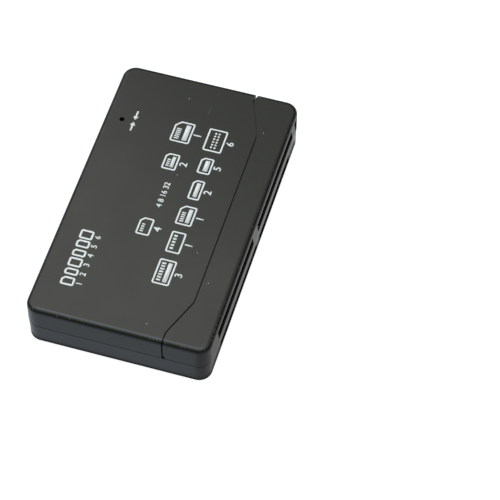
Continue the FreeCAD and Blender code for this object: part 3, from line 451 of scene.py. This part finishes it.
def powdery(name, shade, grit, roughness):
    # Cast or fired body, such as epoxy or ceramic: dull and finely pitted.
    material, tree, shader = new_material(name, Roughness=roughness)
    place = add_node(tree, "ShaderNodeTexCoord").outputs["Object"]
    pits = add_node(tree, "ShaderNodeTexNoise",
                    {"Vector": place, "Scale": 1 / grit, "Detail": 3.0}).outputs["Fac"]
    pit_shade, pit_depth = 0.6, grit * 0.1
    darker = tuple(part * pit_shade for part in shade)
    tint_surface(tree, shader, pits, shade, darker)
    bump = add_node(tree, "ShaderNodeBump", {"Height": pits, "Strength": 0.5, "Distance": pit_depth})
    tree.links.new(bump.outputs["Normal"], shader.inputs["Normal"])
    return material


def clear_lens(fittings):
    # Clear cast epoxy over a white base: glossy and milky, unlit.
    material, tree, shader = new_material("milky_lens", Roughness=0.12, IOR=1.5)
    place = add_node(tree, "ShaderNodeTexCoord").outputs["Object"]
    haze_width = 0.6 * MM
    haze = add_node(tree, "ShaderNodeTexNoise",
                    {"Vector": place, "Scale": 1 / haze_width, "Detail": 1.0}).outputs["Fac"]
    tint_surface(tree, shader, haze, fittings.lens, fittings.lens_haze)
    return material


def screen_ink(ink):
    # Screen-printed white ink: flat and dense, thinner where the mesh of the screen left less of it.
    material, tree, shader = new_material("screen_printed_white", IOR=1.5)
    place = add_node(tree, "ShaderNodeTexCoord").outputs["Object"]
    mesh_width = 0.3 * MM
    cover = add_node(tree, "ShaderNodeTexNoise",
                     {"Vector": place, "Scale": 1 / mesh_width, "Detail": 2.0}).outputs["Fac"]
    tint_surface(tree, shader, cover, ink.white, ink.worn)
    dense, thin = 0.45, 0.65
    dull = add_node(tree, "ShaderNodeMapRange", {"Value": cover, "To Min": dense, "To Max": thin})
    tree.links.new(dull.outputs["Result"], shader.inputs["Roughness"])
    return material


def white_paper(stage):
    # Backlit white paper: flat and even, with only a trace of the reader's shadow.
    return new_material("backlit_paper", Base_Color=stage.paper, Roughness=0.9,
                        Emission_Color=(1, 1, 1), Emission_Strength=stage.paper_glow)[0]


def lit_table(stage):
    # Light table: a cool sheen along the sides of the case, brightest where the eye grazes them. Its glow is
    # painted darker close to the case, a painted contact shadow that gives a dark foot, and has painted shade
    # by the near front corner. The distance to the case is the length of what lies beyond its footprint's
    # straight sides, less the radius of its corners.
    material, tree, shader = new_material("light_table", Base_Color=(0, 0, 0), Roughness=0.9)
    place = add_node(tree, "ShaderNodeTexCoord").outputs["Object"]
    half_length, half_width = CAD_BOX[1][0], CAD_BOX[1][1]
    corner = stage.footprint_corner
    straight = (half_length - corner, half_width - corner, 0)
    mirrored = add_node(tree, "ShaderNodeVectorMath", {0: place}, operation="ABSOLUTE").outputs[0]
    beyond = add_node(tree, "ShaderNodeVectorMath", {0: mirrored, 1: straight},
                      operation="SUBTRACT").outputs[0]
    clear = add_node(tree, "ShaderNodeVectorMath", {0: beyond, 1: (0, 0, 0)}, operation="MAXIMUM").outputs[0]
    distance = add_node(tree, "ShaderNodeVectorMath", {0: clear}, operation="LENGTH").outputs["Value"]
    # Painted contact shadow: the glow is painted darker within the contact reach of the case
    lit = add_node(tree, "ShaderNodeMapRange", {"Value": distance, "From Min": corner,
                                                "From Max": corner + stage.contact_reach,
                                                "To Min": stage.contact_shade * stage.table_glow,
                                                "To Max": stage.table_glow}, interpolation_type="SMOOTHSTEP")
    axes = add_node(tree, "ShaderNodeSeparateXYZ", {"Vector": place})
    # Painted shade: on the windows' side the glow is painted dimmer towards the near front corner
    painted_corner_shade = add_node(tree, "ShaderNodeMapRange", {"Value": axes.outputs["X"], "From Min": -half_length,
                                                      "From Max": 0.0, "To Min": stage.corner_shade})
    in_front = add_node(tree, "ShaderNodeMapRange", {"Value": axes.outputs["Y"], "From Max": -half_width,
                                                     "From Min": stage.corner_fade - half_width},
                        interpolation_type="SMOOTHSTEP").outputs["Result"]
    tint = add_node(tree, "ShaderNodeMix", {MIX_SHARE: in_front, MIX_FIRST: opaque(stage.table),
                                            MIX_SECOND: opaque(stage.table_front)}, data_type="RGBA")
    tree.links.new(tint.outputs[MIX_RESULT], shader.inputs["Emission Color"])
    dimmed = add_node(tree, "ShaderNodeMix", {MIX_SHARE: in_front, MIX_FIRST_NUMBER: 1.0,
                                              MIX_SECOND_NUMBER: painted_corner_shade.outputs["Result"]})
    strength = add_node(tree, "ShaderNodeMath", {0: lit.outputs["Result"], 1: dimmed.outputs[0]},
                        operation="MULTIPLY")
    tree.links.new(strength.outputs[0], shader.inputs["Emission Strength"])
    return material


def finish(slot, material):
    """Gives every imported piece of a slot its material."""
    names = [part["node"] for part in frame["record"]["subparts"] if part["material_slot"] == slot]
    if not names:
        raise RuntimeError(f"no piece has the slot {slot}")
    pieces = [frame["nodes"][name] for name in names]
    for piece in pieces:
        piece.data.materials.clear()
        piece.data.materials.append(material)
    return pieces


def ease_edges(piece, width):
    """Rounds the sharp edges a little, as a mould or a press leaves them, and keeps the flats flat."""
    same_point = 0.001 * MM
    sharp_from = math.radians(40)
    by_area_alone = 100
    weld = piece.modifiers.new("joined_facets", "WELD")
    weld.merge_threshold = same_point
    bevel = piece.modifiers.new("eased_edges", "BEVEL")
    bevel.width = width
    bevel.segments = 2
    bevel.limit_method = "ANGLE"
    bevel.angle_limit = sharp_from
    normals = piece.modifiers.new("flat_faces", "WEIGHTED_NORMAL")
    normals.weight = by_area_alone


def rounded_path(corners, radius):
    """A closed path of straight sides joined by tangent arcs.

    At a corner whose sides open at angle q, the arc's centre lies radius / sin(q / 2) along the bisector,
    and the arc runs from the foot of one side's perpendicular to the foot of the other's.
    """
    corners = np.asarray(corners, float)
    before = np.roll(corners, 1, axis=0) - corners
    after = np.roll(corners, -1, axis=0) - corners
    before /= np.linalg.norm(before, axis=1, keepdims=True)
    after /= np.linalg.norm(after, axis=1, keepdims=True)
    half = np.arccos((before * after).sum(1)) / 2
    bisector = before + after
    bisector /= np.linalg.norm(bisector, axis=1, keepdims=True)
    centre = corners + bisector * (radius / np.sin(half))[:, None]
    start = corners + before * (radius / np.tan(half))[:, None] - centre
    stop = corners + after * (radius / np.tan(half))[:, None] - centre
    turn = np.arctan2(start[:, 0] * stop[:, 1] - start[:, 1] * stop[:, 0], (start * stop).sum(1))
    swept = turn[:, None] * np.linspace(0, 1, ARC_STEPS)
    x = start[:, :1] * np.cos(swept) - start[:, 1:] * np.sin(swept)
    y = start[:, :1] * np.sin(swept) + start[:, 1:] * np.cos(swept)
    return (centre[:, None] + np.stack([x, y], axis=-1)).reshape(-1, 2)


def card_path(x, y, width, height, clip, radius):
    """A card about a point: a rectangle, with its upper right corner cut off where clip isn't 0."""
    left, right, low, high = x - width / 2, x + width / 2, y - height / 2, y + height / 2
    cut = [(right, high - clip), (right - clip, high)] if clip else [(right, high)]
    return rounded_path([(left, low), (right, low), *cut, (left, high)], radius)


def circle_path(x, y, radius):
    """A circle: the centre plus the radius times the cosine and sine of evenly spaced angles."""
    turn = np.linspace(0, 2 * np.pi, CIRCLE_STEPS, endpoint=False)
    return np.stack([x + radius * np.cos(turn), y + radius * np.sin(turn)], axis=1)


def arrow_path(tail, tip, y, head):
    """An arrow along X from tail to tip, whose shaft, head and corners follow from the head's width."""
    neck = tip - math.copysign(head * HEAD_LENGTH, tip - tail)
    shaft = head * SHAFT_WIDTH / 2
    corners = [(tail, y - shaft), (neck, y - shaft), (neck, y - head / 2), (tip, y),
               (neck, y + head / 2), (neck, y + shaft), (tail, y + shaft)]
    return rounded_path(corners if tip > tail else corners[::-1], head * ARROW_ROUNDING)


def rail_quads(rails, count, closed):
    """Quads between neighbouring rails of count points each, all along the path.

    If closed, the last rail joins the first, so that the quads run round the section.
    """
    rail = np.arange(rails if closed else rails - 1)[:, None]
    point = np.arange(count)[None, :]
    following = (point + 1) % count
    above = (rail + 1) % rails
    quads = np.broadcast_arrays(rail * count + point, rail * count + following,
                                above * count + following, above * count + point)
    return np.stack(quads, axis=-1).reshape(-1, 4)


def filled(path, thickness):
    """Ink that fills a closed path: the path low and high, a wall between the two, and both faces."""
    count = len(path)
    levels = np.repeat([0, thickness], count)[:, None]
    points = np.hstack([np.tile(path, (2, 1)), levels])
    order = np.arange(count)
    corners = np.concatenate([rail_quads(2, count, False).ravel(), order + count, order[::-1]])
    return points, corners, np.concatenate([np.full(count, 4), [count, count]])


def drawn(path, width, thickness):
    """Ink of even width along a closed path: four rails, half the width either side, low and high.

    A rail's point lies along the bisector of its two sides, width / 2 / cos(half the turn) from the path.
    """
    count = len(path)
    ahead = np.roll(path, -1, axis=0) - path
    ahead /= np.linalg.norm(ahead, axis=1, keepdims=True)
    outward = np.stack([ahead[:, 1], -ahead[:, 0]], axis=1)
    bisector = outward + np.roll(outward, 1, axis=0)
    bisector /= np.linalg.norm(bisector, axis=1, keepdims=True)
    reach = bisector * (width / 2 / (bisector * outward).sum(1))[:, None]
    flat = np.concatenate([path + reach, path + reach, path - reach, path - reach])
    levels = np.repeat([0, thickness, thickness, 0], count)[:, None]
    quads = rail_quads(4, count, True)
    return np.hstack([flat, levels]), quads.ravel(), np.full(len(quads), 4)


def figures(text, x, y, height, thickness):
    """Numbers as a solid film about a point.

    The built-in font's filled outline makes the top and, turned over, the bottom. A side of a triangle
    that no other triangle runs along the other way lies on the outline and carries a wall.
    """
    curve = bpy.data.curves.new("figures", "FONT")
    curve.body = text
    curve.resolution_u = FIGURE_STEPS
    curve.offset = FIGURE_BOLDNESS
    writing = bpy.data.objects.new("figures", curve)
    bpy.context.scene.collection.objects.link(writing)
    flat = bpy.data.meshes.new_from_object(writing.evaluated_get(bpy.context.evaluated_depsgraph_get()))
    flat.calc_loop_triangles()
    count = len(flat.vertices)
    places = np.empty((count, 3), np.float32)
    flat.vertices.foreach_get("co", places.ravel())
    triangles = np.empty((len(flat.loop_triangles), 3), np.int32)
    flat.loop_triangles.foreach_get("vertices", triangles.ravel())
    bpy.data.objects.remove(writing)
    bpy.data.curves.remove(curve)
    bpy.data.meshes.remove(flat)

    low, high = places[:, :2].min(0), places[:, :2].max(0)
    path = (places[:, :2] - (low + high) / 2) * height / (high - low)[1] + (x, y)
    points = np.hstack([np.tile(path, (2, 1)), np.repeat([0, thickness], count)[:, None]])
    sides = np.concatenate([triangles[:, [0, 1]], triangles[:, [1, 2]], triangles[:, [2, 0]]])
    start, stop = sides[~np.isin(sides @ [count, 1], sides @ [1, count])].T
    walls = np.stack([start, stop, stop + count, start + count], axis=1)
    corners = np.concatenate([walls.ravel(), (triangles + count).ravel(), triangles[:, ::-1].ravel()])
    return points, corners, np.repeat([4, 3], [len(walls), 2 * len(triangles)])


def merged(shapes):
    """Several shapes as one: the corners of each count on from the points of those before it."""
    points, corners, sizes = zip(*shapes)
    counts = np.array([len(part) for part in points])
    firsts = np.repeat(np.cumsum(counts) - counts, [len(part) for part in corners])
    return np.concatenate(points), np.concatenate(corners) + firsts, np.concatenate(sizes)


def moved(shape, x, y):
    """A shape shifted along the lid."""
    points, corners, sizes = shape
    return points + (x, y, 0), corners, sizes


class Symbol(NamedTuple):
    """A card as drawn on the lid, in millimetres, with the number of its slot below it.

    Without a width it is the number alone. In the legend all cards have one height.
    """

    number: str
    width: float = 0.0
    height: float = 0.0
    clip: float = 0.0
    contacts: int = 0
    pins: int = 0
    label: bool = False


FRONT_ROW = (
    Symbol("3", width=8.2, height=4.6, contacts=7, label=True),
    Symbol("1", width=7.0, height=3.8, contacts=5),
    Symbol("1", width=6.4, height=4.4, clip=1.2, contacts=5, label=True),
    Symbol("2", width=6.6, height=3.0, clip=0.9, label=True),
    Symbol("5", width=5.4, height=3.4, clip=0.9, label=True),
    Symbol("6", width=7.8, height=5.2, pins=6),
)
REAR_ROW = (
    Symbol("4", width=5.6, height=3.6, clip=1.0, contacts=4),
    Symbol("4 8 16 32"),
    Symbol("2", width=5.4, height=3.8, clip=0.9, contacts=4, label=True),
    Symbol("1", width=7.2, height=5.4, clip=1.5, contacts=6, label=True),
)
LEGEND = (
    Symbol("1", width=2.3, clip=0.7),
    Symbol("2", width=1.7, clip=0.5),
    Symbol("3", width=2.5),
    Symbol("4", width=1.8, clip=0.5),
    Symbol("5", width=2.0, clip=0.5),
    Symbol("6", width=2.6),
)


def symbol_shape(symbol, ink):
    """A card's outline, its contacts or pins, its label and its number, all about the origin."""
    if not symbol.width:
        return figures(symbol.number, 0, 0, ink.small_figure, ink.film)
    width, height, clip = symbol.width * MM, symbol.height * MM, symbol.clip * MM
    shapes = [drawn(card_path(0, 0, width, height, clip, ink.corner), ink.line, ink.film)]
    margin = ink.line / 2 + ink.line
    inside = width - 2 * margin
    edge = height / 2 - margin
    if symbol.contacts:
        pitch = (inside - clip) / symbol.contacts
        bar = (pitch * CONTACT_WIDTH, height * CONTACT_HEIGHT, 0, pitch * CONTACT_CORNER)
        bar_y = edge - height * CONTACT_HEIGHT / 2
        bars = pitch * (np.arange(symbol.contacts) + 0.5) - inside / 2
        shapes += [filled(card_path(x, bar_y, *bar), ink.film) for x in bars]
    if symbol.pins:
        pitch = inside / symbol.pins
        columns = pitch * (np.arange(symbol.pins) + 0.5) - inside / 2
        pins = [circle_path(x, y, pitch * PIN_RADIUS) for x in columns for y in (-pitch / 2, pitch / 2)]
        shapes += [filled(pin, ink.film) for pin in pins]
    if symbol.label:
        label_height = height * (LABEL_HEIGHT if symbol.contacts else LONE_LABEL_HEIGHT)
        label = card_path(0, label_height / 2 - edge, inside, label_height, 0, ink.corner / 2)
        shapes.append(filled(label, ink.film))
    step = ink.figure_gap + ink.figure
    shapes.append(figures(symbol.number, 0, -height / 2 - step + ink.figure / 2, ink.figure, ink.film))
    return moved(merged(shapes), 0, step / 2)


def symbol_row(symbols, start, stop, y, ink):
    """Symbols from left to right between two places, with equal gaps."""
    shapes = [symbol_shape(symbol, ink) for symbol in symbols]
    left = np.array([points[:, 0].min() for points, corners, sizes in shapes])
    width = np.array([points[:, 0].max() for points, corners, sizes in shapes]) - left
    gap = (stop - start - width.sum()) / (len(width) - 1)
    shift = start + np.cumsum(width + gap) - width - gap - left
    return [moved(shape, x, y) for shape, x in zip(shapes, shift)]


def ink_piece(name, shapes, material, ink):
    """One piece of print, set on the lid with its underside just below the skin."""
    points, corners, sizes = merged(shapes)
    points = points + (0, 0, LID_HIGH[2])
    points[:, 2] = np.where(points[:, 2] > LID_HIGH[2], points[:, 2], LID_HIGH[2] - ink.bite)
    mesh = bpy.data.meshes.new(name)
    mesh.vertices.add(len(points))
    mesh.vertices.foreach_set("co", points.ravel())
    mesh.loops.add(len(corners))
    mesh.loops.foreach_set("vertex_index", corners)
    mesh.polygons.add(len(sizes))
    mesh.polygons.foreach_set("loop_start", np.cumsum(sizes) - sizes)
    mesh.update(calc_edges=True)
    mesh.materials.append(material)
    piece = bpy.data.objects.new(name, mesh)
    bpy.context.scene.collection.objects.link(piece)
    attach(piece, "root")


def stage_sheet(name, material):
    """A wide level sheet under the reader."""
    half = SHEET_SIDE / 2
    corners = [(-half, -half, 0), (half, -half, 0), (half, half, 0), (-half, half, 0)]
    flat = bpy.data.meshes.new(name)
    flat.from_pydata(corners, [], [(0, 1, 2, 3)])
    flat.materials.append(material)
    sheet = bpy.data.objects.new(name, flat)
    bpy.context.scene.collection.objects.link(sheet)
    return sheet


def soft_light(name, place, side, watts, tint):
    """A square light that faces the reader."""
    lamp = bpy.data.lights.new(name, "AREA")
    lamp.shape = "SQUARE"
    lamp.size = side
    lamp.energy = watts
    lamp.color = tint
    light = bpy.data.objects.new(name, lamp)
    light.location = place
    light.rotation_euler = (-Vector(place)).to_track_quat("-Z", "Y").to_euler()
    bpy.context.scene.collection.objects.link(light)


def surround(scene, stage):
    """Room round the paper: dim walls that brighten towards the ceiling."""
    world = bpy.data.worlds.new("studio_room")
    world.use_nodes = True
    tree = world.node_tree
    background = tree.nodes["Background"]
    background.inputs["Color"].default_value = opaque(stage.room_tint)
    ray = add_node(tree, "ShaderNodeTexCoord").outputs["Generated"]
    height = add_node(tree, "ShaderNodeSeparateXYZ", {"Vector": ray}).outputs["Z"]
    brightness = add_node(tree, "ShaderNodeMapRange", {"Value": height, "From Min": stage.wall_top,
                                                       "From Max": stage.wall_fade,
                                                       "To Min": stage.horizon, "To Max": stage.zenith})
    tree.links.new(brightness.outputs["Result"], background.inputs["Strength"])
    scene.world = world


def aim_camera(scene, stage):
    """Looks at the target from the given turn and height, with the picture turned by the roll."""
    flat, rise = math.cos(stage.elevation), math.sin(stage.elevation)
    back = Vector((math.sin(stage.azimuth) * flat, -math.cos(stage.azimuth) * flat, rise))
    level = Vector((0, 0, 1)).cross(back).normalized()
    upright = back.cross(level)
    right = level * math.cos(stage.roll) + upright * math.sin(stage.roll)
    up = upright * math.cos(stage.roll) - level * math.sin(stage.roll)
    lens = bpy.data.cameras.new("photo_camera")
    lens.sensor_width = SENSOR_WIDTH_MM
    lens.lens = stage.lens
    lens.clip_start, lens.clip_end = NEAREST_SEEN, FARTHEST_SEEN
    camera = bpy.data.objects.new("photo_camera", lens)
    target = Vector((stage.target_x, stage.target_y, stage.target_z))
    turn = Matrix((right, up, back)).transposed().to_4x4()
    camera.matrix_world = Matrix.Translation(target + back * stage.distance) @ turn
    scene.collection.objects.link(camera)
    scene.camera = camera


class READER_OT_shells(Operator):
    """Gives the three shells of the case their moulded finish."""

    bl_idname = "reader.shells"
    bl_label = "Case Shells"

    def execute(self, context):
        finish("case_black", moulded_abs(settings().case))
        return {"FINISHED"}


class READER_OT_sockets(Operator):
    """Finishes the card sockets, the pin header and the small inlet at the rear."""

    bl_idname = "reader.sockets"
    bl_label = "Sockets"

    def execute(self, context):
        fittings = settings().fittings
        socket_plastic = filled_plastic("glass_filled_black", fittings.socket_black, roughness=0.42)
        cover_steel = rolled_sheet("rolled_steel_cover", fittings.steel, roughness=0.34)
        shell_tin = rolled_sheet("tinned_inlet_shell", fittings.tin, roughness=0.26)
        for body in finish("socket_black", socket_plastic):
            ease_edges(body, fittings.plastic_edge)
        for cover in finish("socket_steel", cover_steel) + finish("inlet_steel", shell_tin):
            ease_edges(cover, fittings.sheet_edge)
        finish("inlet_black", filled_plastic("inlet_tongue_plastic", fittings.inlet_black, roughness=0.4))
        finish("contact_gold", gold_flash(fittings))
        return {"FINISHED"}


class READER_OT_board(Operator):
    """Finishes the circuit board and the small parts on it."""

    bl_idname = "reader.board"
    bl_label = "Circuit Board"

    def execute(self, context):
        fittings = settings().fittings
        finish("board_green", lacquered_board(fittings))
        finish("chip_black", powdery("moulded_epoxy", fittings.epoxy, grit=0.12 * MM, roughness=0.6))
        finish("lead_tin", rolled_sheet("tinned_leads", fittings.tin, roughness=0.3))
        finish("crystal_steel", rolled_sheet("drawn_can", fittings.can, roughness=0.25))
        finish("light_clear", clear_lens(fittings))
        finish("capacitor_tan", powdery("fired_ceramic", fittings.ceramic, grit=0.2 * MM, roughness=0.45))
        finish("resistor_black", powdery("coated_resistor", fittings.resistor, grit=0.15 * MM, roughness=0.4))
        return {"FINISHED"}


class READER_OT_print(Operator):
    """Prints the two rows of cards, the legend with the slot numbers, and the activity arrows on the lid."""

    bl_idname = "reader.print"
    bl_label = "Lid Print"

    def execute(self, context):
        ink = settings().ink
        white = screen_ink(ink)
        near, far = LID_LOW[0], LID_HIGH[0]
        row_stop = far - ink.row_end
        front = symbol_row(FRONT_ROW, near + ink.front_row_start, row_stop, -ink.front_row, ink)
        ink_piece("print_front_row", front, white, ink)
        rear = symbol_row(REAR_ROW, near + ink.rear_row_start, row_stop, ink.rear_row, ink)
        ink_piece("print_rear_row", rear, white, ink)

        places = near + ink.legend_start + ink.legend_pitch * np.arange(len(LEGEND))
        number_y = ink.legend_row - ink.legend_card / 2 - ink.figure_gap - ink.small_figure / 2
        cards = [card_path(x, ink.legend_row, card.width * MM, ink.legend_card, card.clip * MM, ink.corner)
                 for x, card in zip(places, LEGEND)]
        legend = [drawn(path, ink.bold_line, ink.film) for path in cards]
        legend += [figures(card.number, x, number_y, ink.small_figure, ink.film)
                   for x, card in zip(places, LEGEND)]
        ink_piece("print_legend", legend, white, ink)

        far_tail = far - ink.arrow_start
        far_tip = far_tail - ink.arrow_length
        near_tip = far_tip - ink.figure_gap
        near_tail = near_tip - ink.arrow_length
        arrows = [arrow_path(tail, tip, ink.legend_row, ink.arrow_head)
                  for tail, tip in ((far_tail, far_tip), (near_tail, near_tip))]
        ink_piece("print_activity", [filled(path, ink.film) for path in arrows], white, ink)
        return {"FINISHED"}


class READER_OT_stage(Operator):
    """Sets up the paper floor, the soft light, the room and the camera."""

    bl_idname = "reader.stage"
    bl_label = "Stage"

    def execute(self, context):
        stage = settings().stage
        # The camera sees the paper and the case mirrors the table, so the two lie in one place
        paper = stage_sheet("paper_floor", white_paper(stage))
        paper.visible_diffuse = False
        paper.visible_glossy = False
        paper.visible_shadow = False
        table = stage_sheet("table_top", lit_table(stage))
        table.visible_camera = False
        table.visible_shadow = False
        above = (stage.overhead_along, stage.overhead_back, stage.overhead_height)
        soft_light("overhead_softbox", above, stage.overhead_side, stage.overhead, stage.overhead_warmth)
        straight_above = (0.0, 0.0, stage.ceiling_height)
        soft_light("ceiling_softbox", straight_above, stage.ceiling_side, stage.ceiling, stage.ceiling_tint)
        surround(context.scene, stage)
        aim_camera(context.scene, stage)
        context.scene.view_settings.view_transform = "Standard"
        return {"FINISHED"}


class READER_PT_looks(Panel):
    """Lists the steps and the settings in the sidebar."""

    bl_idname = "READER_PT_looks"
    bl_label = "Card Reader"
    bl_space_type = "VIEW_3D"
    bl_region_type = "UI"
    bl_category = "Card Reader"

    def draw(self, context):
        for step in STEPS:
            self.layout.operator(step.bl_idname)
        for group in (settings().case, settings().fittings, settings().ink, settings().stage):
            box = self.layout.box()
            for name in group.__annotations__:
                box.prop(group, name)


GROUPS = (ReaderCase, ReaderFittings, ReaderPrint, ReaderStage, ReaderLooks)
STEPS = (READER_OT_shells, READER_OT_sockets, READER_OT_board, READER_OT_print, READER_OT_stage)


def register():
    for kind in (*GROUPS, *STEPS, READER_PT_looks):
        bpy.utils.register_class(kind)
    bpy.types.Scene.reader_looks = PointerProperty(type=ReaderLooks)


def unregister():
    del bpy.types.Scene.reader_looks
    for kind in reversed((*GROUPS, *STEPS, READER_PT_looks)):
        bpy.utils.unregister_class(kind)


def main():
    register()
    bpy.ops.reader.shells()
    bpy.ops.reader.sockets()
    bpy.ops.reader.board()
    bpy.ops.reader.print()
    bpy.ops.reader.stage()


if __name__ == "__main__":
    main()
